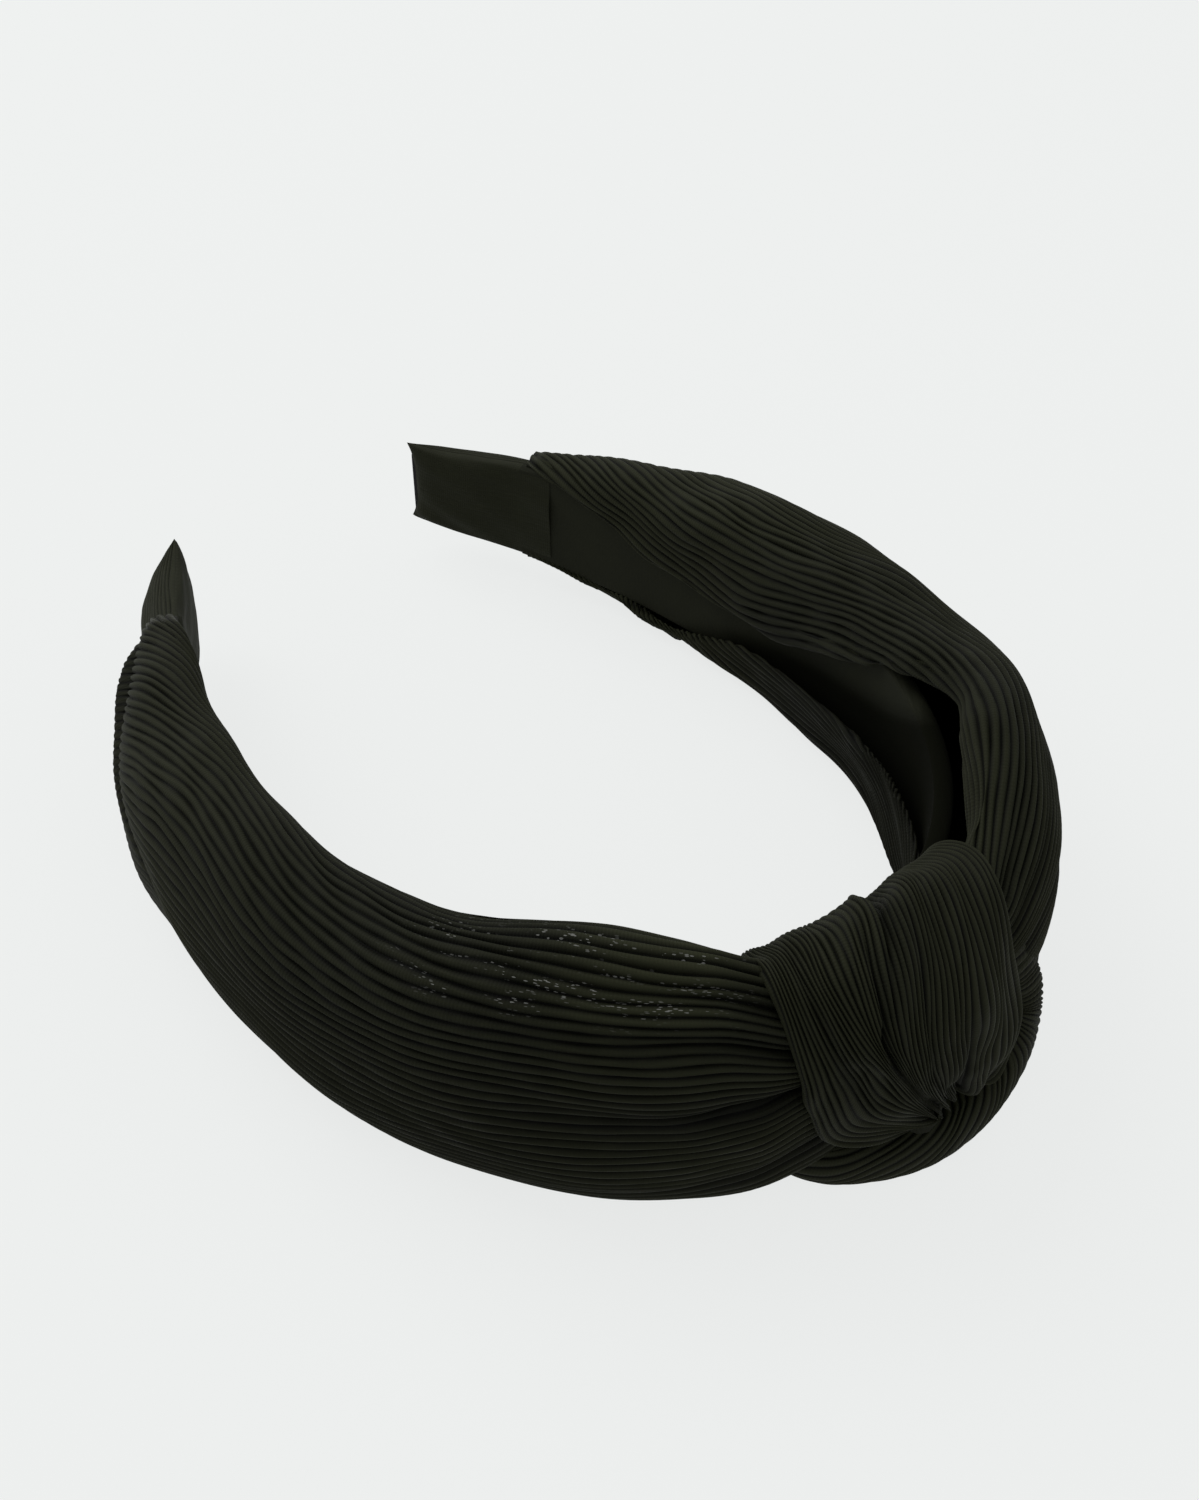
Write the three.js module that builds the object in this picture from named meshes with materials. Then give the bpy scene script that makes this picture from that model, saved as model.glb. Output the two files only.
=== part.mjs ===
// Knotted headband: a sprung plastic band with a smooth lining, inside two ribbed fabric covers
// that meet in a knot at the crown. Millimetres, +Z up.
//
// The headband lies on one long edge. Seen from above, the band runs in a C: the crown, with the
// knot outside it, is at -Y, the two arms run towards +Y, and the two tips leave the C open.
// A place on the band is given by s, the distance along its middle line from the crown (positive
// on the right arm, negative on the left), by out, the distance outwards from that line, and by z.

import * as THREE from "three";

// ---- Driving dimensions ----

const halfArc = 190;                         // crown to tip along the middle line
const tipTurn = THREE.MathUtils.degToRad(122); // how far an arm has turned by its tip
const earlyTurn = 0.89;                      // extra turn near the crown
const lateTurn = 0.42;                       // moves that extra turn nearer to the crown
const crownY = -67.535;                        // puts the middle of the whole box at Y = 0
const lineStep = 0.5;                        // step along the middle line when it is traced

const hingeAt = 20;                          // s of the two places where the band flexes
const fullFlex = THREE.MathUtils.degToRad(12);
const seamAt = 162;                          // s of the end wrap's edge
const gap = 0.3;                             // clearance between pieces that touch

const coreThickness = 1.6;
const coreTipThickness = 1.0;
const coreChamfer = 0.4;
const liningThickness = 0.8;
const liningInset = 0.5;                     // the lining is this much narrower at each edge
const wrapWall = 0.5;                        // fabric of the end wraps at the tip
const lipDepth = 2.7;                        // how far the covers stand in past the middle line
const cornerPower = 0.85;                    // 1 is an ellipse, less is squarer
const lipPower = 0.6;
const bellyAt = 0.3;                         // where a cover is tallest, as a share of its depth
const restOverlap = 1.4;                     // how much of a cover is pressed flat where it rests
const lipStand = 0.35;                       // height of a lip's inner edge, as a share of its stand
const innerPower = 0.5;                      // the flat inner side of an end wrap
const pocketPower = 0.35;                    // the nearly square pocket inside an end wrap
const pocketGap = 0.2;
const liningChamfer = 0.2;
const leanLength = 25;                       // length over which a cover's end leans
const leanSpare = THREE.MathUtils.degToRad(1.5);

// ---- How finely the bodies are stepped ----

const stripStep = 6;
const coverSegments = 20;                    // points round half a cover's section
const coverStations = 22;
const wrapSegments = 24;
const wrapStations = 6;
const knotSegments = 20;
const knotStations = 12;

// ---- Profiles along the band: [s, value] ----

const middleZ = smooth([[0, 21.5], [halfArc, 16.5]]);
const coverTop = smooth([[0, 44.5], [38, 50], [76, 41.5], [118, 37], [seamAt, 29.5]]);
const coverBottom = smooth([[0, 0], [105, 0], [125, 0.8], [seamAt, 5]]);
const coverDepth = smooth([[0, 17.5], [38, 18.4], [76, 18], [118, 17.4], [seamAt, 7]]);
const coreHeight = smooth([[0, 30], [76, 27], [seamAt, 19.5], [halfArc, 14]]);
const wrapHeight = smooth([[seamAt, 24], [halfArc, 17.7]]);
const wrapDepth = smooth([[seamAt, 7], [halfArc, coreTipThickness / 2 + 0.2 + wrapWall]]);
const wrapInner = smooth([[seamAt, 1.9], [halfArc, coreTipThickness / 2 + 0.2 + wrapWall]]);

// ---- Knot ----

const knotReach = 19.4;                      // the knot stays inside this distance from s = 0
const backLoopTop = 43.4;
const backLoopBottom = 0.4;
const backLoopDepth = 16;
const frontLoopThickness = 3.1;              // half of it
// The front loop's path over the crown: [out, z], from the inner lip to the tucked lower end.
const frontLoopPath = [[-0.5, 46.9], [7, 47.7], [15.2, 43.6], [19.6, 34], [20.3, 25], [19.6, 16.5]];
// Its sideways middle and half width, along the path from 0 to 1.
const frontLoopShift = smooth([[0, -0.4], [0.5, -1.2], [1, -2.6]]);
const frontLoopHalfWidth = smooth([[0, 18], [0.25, 18.3], [0.5, 15.8], [0.8, 12.5], [1, 8]]);

// ---- Materials ----

const ribbedFabric = new THREE.MeshStandardMaterial({ color: 0x24251f, roughness: 0.9, metalness: 0 });
const smoothFabric = new THREE.MeshStandardMaterial({ color: 0x2b2c25, roughness: 0.85, metalness: 0 });
const bandPlastic = new THREE.MeshStandardMaterial({ color: 0x17181a, roughness: 0.5, metalness: 0 });

// ---- Curves ----

// A smooth curve through the given [position, value] points, level at its own two ends.
function smooth(points) {
  return function valueAt(position) {
    const last = points.length - 1;
    if (position <= points[0][0]) return points[0][1];
    if (position >= points[last][0]) return points[last][1];
    const i = points.findIndex((point) => point[0] > position) - 1;
    const slope = (a, b) => (points[b][1] - points[a][1]) / (points[b][0] - points[a][0]);
    const here = slope(i, i + 1);
    const before = i > 0 ? slope(i - 1, i) : here;
    const after = i < last - 1 ? slope(i + 1, i + 2) : here;
    const span = points[i + 1][0] - points[i][0];
    const t = (position - points[i][0]) / span;
    const start = i > 0 ? easedSlope(before, here) : here;
    const end = i < last - 1 ? easedSlope(here, after) : here;
    return points[i][1] * (1 + 2 * t) * (1 - t) ** 2 + start * span * t * (1 - t) ** 2
      + points[i + 1][1] * t * t * (3 - 2 * t) - end * span * t * t * (1 - t);
  };
}

// The slope at a point between two stretches: their harmonic mean, or level at a peak.
function easedSlope(before, after) {
  if (before * after <= 0) return 0;
  return 2 * before * after / (before + after);
}

// How far the band has turned from the crown's direction, s along the right arm.
function turnAt(s) {
  const t = s / halfArc;
  return tipTurn * (t + t * (1 - t) * (earlyTurn + lateTurn * (1 - 2 * t)));
}

// The right arm's middle line, traced from the crown in small steps.
const middleLine = [new THREE.Vector2(0, 0)];
for (let s = lineStep / 2; s < halfArc; s += lineStep) {
  const step = new THREE.Vector2(Math.cos(turnAt(s)), Math.sin(turnAt(s))).multiplyScalar(lineStep);
  middleLine.push(middleLine[middleLine.length - 1].clone().add(step));
}

// The point at s along the band, out from its middle line, at height z.
function place(s, out, z) {
  const along = Math.abs(s) / lineStep;
  const i = Math.min(Math.floor(along), middleLine.length - 2);
  const middle = middleLine[i].clone().lerp(middleLine[i + 1], along - i);
  const turn = turnAt(Math.abs(s));
  const x = middle.x + Math.sin(turn) * out;
  const y = middle.y - Math.cos(turn) * out;
  return new THREE.Vector3(Math.sign(s || 1) * x, crownY + y, z);
}

function spread(from, to, count) {
  return Array.from({ length: count + 1 }, (_, i) => from + (to - from) * i / count);
}

// ---- Building closed bodies ----

// One closed body from a row of rings, each a closed loop of as many points. The first and the
// last ring are filled by lacing the points of the ring's first half to those of its second half.
function closedBody(rings) {
  const count = rings[0].length;
  const positions = rings.flat().flatMap((point) => point.toArray());
  const triangles = [];
  for (let r = 0; r < rings.length - 1; r++) {
    for (let i = 0; i < count; i++) {
      const a = r * count + i;
      const b = r * count + (i + 1) % count;
      triangles.push([a, b, b + count], [a, b + count, a + count]);
    }
  }
  const lastRing = (rings.length - 1) * count;
  for (let i = 0; i < count / 2 - 1; i++) {
    const across = count - 1 - i;
    const face = [[i, i + 1, across - 1], [i, across - 1, across]];
    triangles.push(...face.map((corners) => corners.map((index) => index + lastRing)));
    triangles.push(...face.map((corners) => corners.toReversed()));
  }
  return outwardGeometry(positions, triangles);
}

// Indexed geometry with every face pointing out, whichever way its triangles were wound.
function outwardGeometry(positions, triangles) {
  const corner = (index) => new THREE.Vector3().fromArray(positions, index * 3);
  let volume = 0;
  for (const [a, b, c] of triangles) volume += corner(a).dot(corner(b).cross(corner(c)));
  const wound = volume > 0 ? triangles : triangles.map((face) => face.toReversed());
  const geometry = new THREE.BufferGeometry();
  geometry.setAttribute("position", new THREE.Float32BufferAttribute(positions, 3));
  geometry.setIndex(wound.flat());
  geometry.computeVertexNormals();
  return geometry;
}

// A body swept along the band: sectionAt(s) gives the section's [out, z] points, and
// leanAt(s, out) moves a point along the band.
function sweptBody(stations, side, sectionAt, leanAt = () => 0) {
  return closedBody(stations.map((s) => sectionAt(s).map(
    ([out, z]) => place(side * (s + leanAt(s, out)), out, z))));
}

// A power of a sine or cosine that keeps its sign: the shape of a superellipse.
function power(value, exponent) {
  return Math.sign(value) * Math.abs(value) ** exponent;
}

// ---- Sections ----

// A flat strip with its long edges chamfered.
function stripSection(inner, outer, middle, height, chamfer) {
  const low = middle - height / 2;
  const high = middle + height / 2;
  return [
    [inner, low + chamfer], [inner + chamfer, low], [outer - chamfer, low], [outer, low + chamfer],
    [outer, high - chamfer], [outer - chamfer, high], [inner + chamfer, high], [inner, high - chamfer],
  ];
}

// A fabric tube round the core, open on its inner side where the lining shows: its outline from
// the upper lip over the outside to the lower lip, then back round the channel for the core.
function coverSection(s, top, bottom, depth) {
  const middle = (top + bottom) / 2;
  const half = (top - bottom) / 2;
  const belly = bellyAt * depth;
  const channelMiddle = middleZ(s);
  const channelHalf = coreHeight(s) / 2 + gap;
  const outline = [];
  for (const share of spread(0, 1, coverSegments)) {
    // A quarter turn for the upper lip, a half turn outside and a quarter turn for the lower lip.
    const angle = Math.PI * (1 - 2 * share);
    const isLip = Math.cos(angle) < 0;
    const lipPoint = channelMiddle + Math.sign(Math.sin(angle)) * channelHalf;
    const edge = Math.sin(angle) > 0 ? top : bottom;
    const rise = Math.abs(power(Math.sin(angle), cornerPower));
    const z = isLip ? lipPoint + (edge - lipPoint) * (lipStand + (1 - lipStand) * rise)
      : middle + (half + restOverlap) * power(Math.sin(angle), cornerPower);
    const out = isLip ? belly + (belly + lipDepth) * power(Math.cos(angle), lipPower)
      : belly + (depth - belly) * power(Math.cos(angle), cornerPower);
    outline.push([out, THREE.MathUtils.clamp(z, bottom, top)]);
  }
  const wall = coreThickness / 2 + gap;
  const channel = spread(0, 1, coverSegments).map((share) => {
    const z = channelMiddle + channelHalf * THREE.MathUtils.clamp(2 - 4 * share, -1, 1);
    const inwards = Math.max(0, Math.abs(4 * share - 2) - 1);
    return [THREE.MathUtils.lerp(wall, -lipDepth, inwards), z];
  });
  return [...outline, ...channel.reverse()];
}

// A closed superellipse: flat on the inner side, bulging on the outer side.
function roundSection(middle, height, depth, inner, exponent, innerExponent) {
  return spread(0, 1, wrapSegments).slice(0, -1).map((share) => {
    const angle = 2 * Math.PI * (share + 0.5 / wrapSegments);
    const across = Math.cos(angle);
    const out = across > 0 ? depth * power(across, exponent) : inner * power(across, innerExponent);
    return [out, middle + height / 2 * power(Math.sin(angle), exponent)];
  });
}

// ---- Pieces ----

// The core keeps its thickness up to the seam and thins from there to the tip.
function coreThicknessAt(s) {
  const thinned = Math.max(0, (s - seamAt) / (halfArc - seamAt));
  return THREE.MathUtils.lerp(coreThickness, coreTipThickness, thinned);
}

function coreStrip(from, to, side) {
  return sweptBody(spread(from, to, Math.ceil((to - from) / stripStep)), side, (s) => {
    const half = coreThicknessAt(Math.abs(s)) / 2;
    return stripSection(-half, half, middleZ(Math.abs(s)), coreHeight(Math.abs(s)), coreChamfer);
  });
}

function liningStrip(from, to, side) {
  const face = -coreThickness / 2 - gap;
  return sweptBody(spread(from, to, Math.ceil((to - from) / stripStep)), side, (s) => stripSection(
    face - liningThickness, face, middleZ(Math.abs(s)), coreHeight(Math.abs(s)) - 2 * liningInset,
    liningChamfer));
}

// An arm's cover. Its end beside the knot leans away from it, so that the arm can flex outwards.
function armCover(from, side) {
  const leanAt = (s, out) => {
    const share = Math.max(0, 1 - (s - from) / leanLength);
    return Math.max(0, out) * Math.tan(fullFlex + leanSpare) * share;
  };
  return sweptBody(spread(from, seamAt - gap, coverStations), side,
    (s) => coverSection(s, coverTop(s), coverBottom(s), coverDepth(s)), leanAt);
}

// The smooth fabric round an arm's end: a flat sleeve, closed at the tip, with the core inside.
function endWrap(side) {
  const pocketAt = (s) => roundSection(middleZ(s), coreHeight(s) + 2 * gap,
    coreThicknessAt(s) / 2 + pocketGap, coreThicknessAt(s) / 2 + pocketGap, pocketPower, pocketPower);
  const outsideAt = (s) => roundSection(
    middleZ(s), wrapHeight(s), wrapDepth(s), wrapInner(s), cornerPower, innerPower);
  const inside = spread(halfArc - wrapWall, seamAt, wrapStations);
  const outside = spread(seamAt, halfArc, wrapStations);
  const ringsOf = (stations, sectionAt) => stations.map(
    (s) => sectionAt(s).map(([out, z]) => place(side * s, out, z)));
  return closedBody([...ringsOf(inside, pocketAt), ...ringsOf(outside, outsideAt)]);
}

// The part of the knot behind: the covers' gathered ends, crossing the crown outside the core.
function knotBackLoop() {
  return sweptBody(spread(-knotReach, knotReach, knotStations), 1,
    (s) => coverSection(Math.abs(s), backLoopTop, backLoopBottom, backLoopDepth));
}

// The part of the knot in front: a thick band that goes over the crown's upper edge and down its
// outside, and ends tucked against the back loop.
function knotFrontLoop() {
  const path = new THREE.SplineCurve(frontLoopPath.map(([out, z]) => new THREE.Vector2(out, z)));
  const rings = spread(0, 1, knotStations).map((share) => {
    const middle = path.getPointAt(share);
    const tangent = path.getTangentAt(share);
    return spread(0, 1, knotSegments).slice(0, -1).map((turnShare) => {
      const angle = 2 * Math.PI * (turnShare + 0.5 / knotSegments);
      const sideways = frontLoopHalfWidth(share) * power(Math.cos(angle), cornerPower);
      const outwards = frontLoopThickness * power(Math.sin(angle), cornerPower);
      return place(frontLoopShift(share) + sideways,
        middle.x - tangent.y * outwards, middle.y + tangent.x * outwards);
    });
  });
  return closedBody(rings);
}

function named(name, geometry, material) {
  const mesh = new THREE.Mesh(geometry, material);
  mesh.name = name;
  return mesh;
}

// ---- Assembly ----

const headband = new THREE.Group();
const crown = new THREE.Group();
const crownEnd = hingeAt - gap / 2;
const armStart = hingeAt + gap / 2;
crown.add(
  named("crown_core", coreStrip(-crownEnd, crownEnd, 1), bandPlastic),
  named("crown_lining", liningStrip(-crownEnd, crownEnd, 1), smoothFabric),
  named("knot_back_loop", knotBackLoop(), ribbedFabric),
  named("knot_front_loop", knotFrontLoop(), ribbedFabric),
);
headband.add(crown);

for (const [name, side] of [["left", -1], ["right", 1]]) {
  const arm = new THREE.Group();
  arm.add(
    named(`${name}_core`, coreStrip(armStart, halfArc - wrapWall - gap, side), bandPlastic),
    named(`${name}_lining`, liningStrip(armStart, seamAt - gap, side), smoothFabric),
    named(`${name}_cover`, armCover(armStart, side), ribbedFabric),
    named(`${name}_end_wrap`, endWrap(side), smoothFabric),
  );
  headband.add(arm);
}

export default headband;
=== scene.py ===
"""The finished look of the knotted headband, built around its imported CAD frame.

Lengths are in millimetres until a mesh is made. Most shapes are worked out in the band's own
coordinates: s runs along the band's middle line from the crown, out points away from the head,
and z is the height above the table.
"""
import math
from collections.abc import Callable
from typing import NamedTuple

import bmesh
import bpy
import numpy as np
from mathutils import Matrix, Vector


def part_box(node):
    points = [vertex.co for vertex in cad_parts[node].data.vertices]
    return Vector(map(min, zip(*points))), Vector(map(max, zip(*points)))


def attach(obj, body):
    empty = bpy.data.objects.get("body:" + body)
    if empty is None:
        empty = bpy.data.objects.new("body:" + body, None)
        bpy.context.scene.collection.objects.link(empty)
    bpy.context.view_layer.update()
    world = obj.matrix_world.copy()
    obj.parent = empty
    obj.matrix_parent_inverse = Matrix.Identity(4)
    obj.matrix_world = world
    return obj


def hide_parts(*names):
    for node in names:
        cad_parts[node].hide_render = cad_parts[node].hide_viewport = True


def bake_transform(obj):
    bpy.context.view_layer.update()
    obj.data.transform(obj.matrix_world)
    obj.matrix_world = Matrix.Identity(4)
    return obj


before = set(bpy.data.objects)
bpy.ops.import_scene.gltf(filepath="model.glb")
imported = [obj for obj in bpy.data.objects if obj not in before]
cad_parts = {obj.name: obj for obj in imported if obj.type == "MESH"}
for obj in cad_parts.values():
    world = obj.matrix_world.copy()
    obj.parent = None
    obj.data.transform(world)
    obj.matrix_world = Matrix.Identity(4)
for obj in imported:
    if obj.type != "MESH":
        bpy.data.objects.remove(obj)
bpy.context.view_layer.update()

MM = 0.001
ABOVE_TABLE = 0.03         # height of the fabric's lowest points

# ---- The band's middle line, as in the CAD model ----

HALF_ARC = 190.0
TIP_TURN = math.radians(122)
EARLY_TURN = 0.89
LATE_TURN = 0.42
LINE_STEP = 0.5
LINE_BEYOND = 4.0          # the line is traced this far past the tips
HINGE_AT = 20.0
SEAM_AT = 162.0
CORE_HALF = 0.8            # half the core's thickness

crown_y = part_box("crown_core")[0][1] / MM + CORE_HALF


def turn_at(s):
    t = s / HALF_ARC
    return TIP_TURN * (t + t * (1 - t) * (EARLY_TURN + LATE_TURN * (1 - 2 * t)))


line_at = np.arange(0, HALF_ARC + LINE_BEYOND, LINE_STEP)
turn_between = turn_at(line_at[:-1] + LINE_STEP / 2)
line_x = np.concatenate([[0], np.cumsum(np.cos(turn_between))]) * LINE_STEP
line_y = np.concatenate([[0], np.cumsum(np.sin(turn_between))]) * LINE_STEP


def place(side, s, out, z):
    """Points from band coordinates. side is 1 for the right arm and -1 for the left one."""
    s, out, z = np.broadcast_arrays(*(np.asarray(v, float) for v in (s, out, z)))
    along = np.abs(s)
    turn = turn_at(along)
    x = np.interp(along, line_at, line_x) + np.sin(turn) * out
    y = crown_y + np.interp(along, line_at, line_y) - np.cos(turn) * out
    return np.stack([np.where(s < 0, -side, side) * x, y, z], axis=-1)


# ---- Curves ----

def smooth(*points):
    """A smooth function through (position, value) points that never swings past them."""
    at, values = np.array(points, float).T
    slopes = np.diff(values) / np.diff(at)
    before, after = slopes[:-1], slopes[1:]
    total = before + after
    eased = np.where(before * after > 0, 2 * before * after / np.where(total == 0, 1, total), 0)
    slope = np.concatenate([slopes[:1], eased, slopes[-1:]])

    def value_at(position):
        position = np.clip(position, at[0], at[-1])
        i = np.clip(np.searchsorted(at, position, side="right") - 1, 0, len(at) - 2)
        span = at[i + 1] - at[i]
        t = (position - at[i]) / span
        start = values[i] * (1 + 2 * t) * (1 - t) ** 2 + slope[i] * span * t * (1 - t) ** 2
        return start + values[i + 1] * t * t * (3 - 2 * t) - slope[i + 1] * span * t * t * (1 - t)

    return value_at


def through(points, position):
    """A smooth curve through the points, at positions from 0 to the last point's index."""
    points = np.asarray(points, float)
    ends = [2 * points[0] - points[1]], [2 * points[-1] - points[-2]]
    line = np.concatenate([ends[0], points, ends[1]])
    i = np.clip(np.floor(position).astype(int), 0, len(points) - 2)
    t = (position - i).reshape((-1,) + (1,) * (points.ndim - 1))
    a, b, c, d = (line[i + k] for k in range(4))
    return b + t / 2 * (c - a + t * (2 * a - 5 * b + 4 * c - d + t * (3 * (b - c) + d - a)))


def power(value, exponent):
    return np.sign(value) * np.abs(value) ** exponent


def fade(value, low, high):
    """0 below low, 1 above high, and smooth between."""
    t = np.clip((value - low) / (high - low), 0, 1)
    return t * t * (3 - 2 * t)


def ripple(seed, wave_u, wave_v, count=6):
    """A smooth random function of two positions, about -1 to 1, with those wavelengths."""
    chance = np.random.default_rng(seed)
    rates = chance.uniform(0.5, 1.5, (count, 2)) * chance.choice([-1, 1], (count, 2))
    phases = chance.uniform(0, 2 * math.pi, count)

    def value_at(u, v):
        total = sum(np.sin(2 * math.pi * (a * u / wave_u + b * v / wave_v) + phase)
                    for (a, b), phase in zip(rates, phases))
        return total / math.sqrt(count)

    return value_at


# ---- Ribbed fabric ----

RIB_STEPS = np.array([0, 0.07, 0.18, 0.33, 0.5, 0.67, 0.82, 0.93])   # samples across one rib
RIB_SHARPNESS = 0.8        # less makes rounder ribs with narrower valleys
RIB_VARIETY = 400          # ribs with depths of their own
RIB_DEPTH_SHARES = (0.65, 1.3)
RIB_DEPTH_WAVE = 0.28      # how much a valley's depth varies along its length


def rib_columns(first, last):
    """Positions across the ribs from rib first to rib last, close together in the valleys."""
    return np.concatenate([rib + RIB_STEPS for rib in range(first, last)] + [[last]])


def rib_ridge(rib):
    """1 on top of each rib and 0 in the narrow valley beside it."""
    return np.abs(np.sin(math.pi * rib)) ** RIB_SHARPNESS


def rib_height(seed, height):
    """How deep each rib's valleys are: no two ribs are alike, and each varies along its length."""
    chance = np.random.default_rng(seed)
    share = chance.uniform(*RIB_DEPTH_SHARES, RIB_VARIETY)
    wave = ripple(seed + 1, 5.0, 9.0)

    def height_at(rib, along):
        own_share = share[np.floor(rib).astype(int) % RIB_VARIETY]
        return height * own_share * (1 + RIB_DEPTH_WAVE * wave(rib, along))

    return height_at


# ---- Meshes ----

WELD_WITHIN = 2e-6         # metres
NO_LENGTH = 1e-7


def grid_quads(rows, columns):
    index = np.arange(rows * columns).reshape(rows, columns)
    quads = np.stack([index[:-1, :-1], index[:-1, 1:], index[1:, 1:], index[1:, :-1]], axis=-1)
    return quads.reshape(-1, 4)


def new_piece(name, points, quads, material, uv, **values):
    """A mesh object from points in millimetres. uv is each point's place on the flat fabric, also in
    millimetres, and values are kept as attributes of the points."""
    used = np.unique(quads)
    renumber = np.zeros(len(points), int)
    renumber[used] = np.arange(len(used))
    quads = renumber[quads]
    mesh = bpy.data.meshes.new(name)
    mesh.from_pydata((points[used] * MM).tolist(), [], quads.tolist())
    for key, value in values.items():
        mesh.attributes.new(key, "FLOAT", "POINT").data.foreach_set(
            "value", np.asarray(value, np.float32).ravel()[used])
    layer = mesh.uv_layers.new(name="UVMap")
    layer.data.foreach_set("uv", (uv[used][quads.ravel()] * MM).astype(np.float32).ravel())
    weld = bmesh.new()
    weld.from_mesh(mesh)
    bmesh.ops.remove_doubles(weld, verts=weld.verts, dist=WELD_WITHIN)
    bmesh.ops.dissolve_degenerate(weld, edges=weld.edges, dist=NO_LENGTH)
    bmesh.ops.recalc_face_normals(weld, faces=weld.faces)
    weld.to_mesh(mesh)
    weld.free()
    mesh.shade_smooth()
    mesh.materials.append(material)
    piece = bpy.data.objects.new(name, mesh)
    bpy.context.scene.collection.objects.link(piece)
    return piece


def unit(vectors):
    """Vectors of length 1 in the same directions."""
    return vectors / np.maximum(np.linalg.norm(vectors, axis=-1, keepdims=True), 1e-9)


def square_to(direction, vectors):
    """The part of each vector that is square to its unit direction."""
    return vectors - (vectors * direction).sum(-1, keepdims=True) * direction


def grid_normals(points):
    """Unit normals of a grid of points, rows by columns."""
    return unit(np.cross(np.gradient(points, axis=0), np.gradient(points, axis=1)))


# ---- Materials ----

class Nodes:
    """Short calls for building one material's node tree."""

    def __init__(self, name):
        self.material = bpy.data.materials.new(name)
        self.material.use_nodes = True
        self.tree = self.material.node_tree
        self.shader = self.tree.nodes["Principled BSDF"]

    def add(self, kind, inputs=None, **settings):
        node = self.tree.nodes.new(kind)
        for key, value in settings.items():
            setattr(node, key, value)
        for key, value in (inputs or {}).items():
            self.put(node.inputs[key], value)
        return node

    def put(self, socket, value):
        if isinstance(value, bpy.types.NodeSocket):
            self.tree.links.new(value, socket)
        else:
            socket.default_value = value

    def space(self):
        """Where a point is in the object, and its place on the fabric laid flat."""
        outputs = self.add("ShaderNodeTexCoord").outputs
        return outputs["Object"], outputs["UV"]

    def math(self, operation, *values):
        return self.add("ShaderNodeMath", dict(enumerate(values)), operation=operation).outputs[0]

    def times(self, first, second):
        return self.math("MULTIPLY", first, second)

    def mix(self, factor, low, high):
        node = self.add("ShaderNodeMix", data_type="RGBA")
        for key, value in (("Factor_Float", factor), ("A_Color", low), ("B_Color", high)):
            self.put(next(i for i in node.inputs if i.identifier == key), value)
        return next(o for o in node.outputs if o.identifier == "Result_Color")

    def scale(self, value, low, high, from_low=0.0, from_high=1.0):
        inputs = {0: value, 1: from_low, 2: from_high, 3: low, 4: high}
        return self.add("ShaderNodeMapRange", inputs).outputs[0]

    def noise(self, where, scale, detail=2.0, roughness=0.5):
        inputs = {"Vector": where, "Scale": scale, "Detail": detail, "Roughness": roughness}
        return self.add("ShaderNodeTexNoise", inputs).outputs["Fac"]

    def threads(self, where, direction, scale, distortion, detail, detail_scale=1.0):
        """Fine parallel threads, rising from 0 to 1 on each."""
        inputs = {"Vector": where, "Scale": scale, "Distortion": distortion, "Detail": detail,
                  "Detail Scale": detail_scale}
        return self.add("ShaderNodeTexWave", inputs, bands_direction=direction).outputs["Fac"]

    def stretched(self, where, *stretch):
        return self.add("ShaderNodeMapping", {"Vector": where, "Scale": stretch}).outputs[0]

    def attribute(self, name):
        return self.add("ShaderNodeAttribute", attribute_name=name).outputs["Fac"]

    def bump(self, height, distance, strength=1.0, after=None):
        inputs = {"Height": height, "Distance": distance, "Strength": strength}
        if after is not None:
            inputs["Normal"] = after
        return self.add("ShaderNodeBump", inputs).outputs[0]

    def shaded(self, inputs):
        """Sets the shader's inputs and gives the finished material."""
        for key, value in inputs.items():
            self.put(self.shader.inputs[key], value)
        return self.material


def olive(level, tint=0.0):
    """A grey turned slightly towards olive green, as the fabric is where light catches it."""
    return (level, level * (1 + 0.25 * tint), level * (1 - 1.5 * tint), 1)


# Colours of the ribbed fabric, from the painted shade in its valleys to its palest marks.
VALLEY_SHADE = olive(0.0002, 0.2)
RIDGE = olive(0.0066, 0.34)
CLOUDED = olive(0.0096, 0.34)
RUBBED = olive(0.0130, 0.32)
PAINTED_LIGHT_COLOUR = olive(0.0300, 0.3)
# Painted light, laid on the ridges by the pale attribute.
FLECK_COLOUR = olive(0.2, 0.03)
GLUE = olive(0.14, 0.03)

RIBBON_DARK = olive(0.0118, 0.2)
RIBBON_LIGHT = olive(0.0142, 0.22)
RIBBON_WARP = olive(0.0032, 0.2)
# Painted shade for the ribbon deep in the pocket.
RIBBON_POCKET_SHADE = olive(0.0030, 0.25)

CORE_DARK = olive(0.002)
CORE_LIGHT = olive(0.004)

TABLE_DARK = (0.063, 0.065, 0.064, 1)
TABLE_LIGHT = (0.067, 0.069, 0.068, 1)
TABLE_GLOW = (0.985, 1.0, 0.993, 1)
TABLE_GLOW_STRENGTH = 0.778


def pale_flecks(n, uv):
    """1 on the pale flecks: tiny spots, longer along the ribs, in scattered patches."""
    cells = {"Vector": n.stretched(uv, 1, 0.22, 1), "Scale": 4200, "Randomness": 1.0}
    distance = n.add("ShaderNodeTexVoronoi", cells).outputs["Distance"]
    spot = n.math("LESS_THAN", distance, 0.25)
    patch = n.scale(n.noise(n.stretched(uv, 1, 0.2, 1), 420, 2, 0.6), 0, 1, 0.5, 0.58)
    return n.times(n.times(n.attribute("flecks"), patch), spot)


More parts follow.
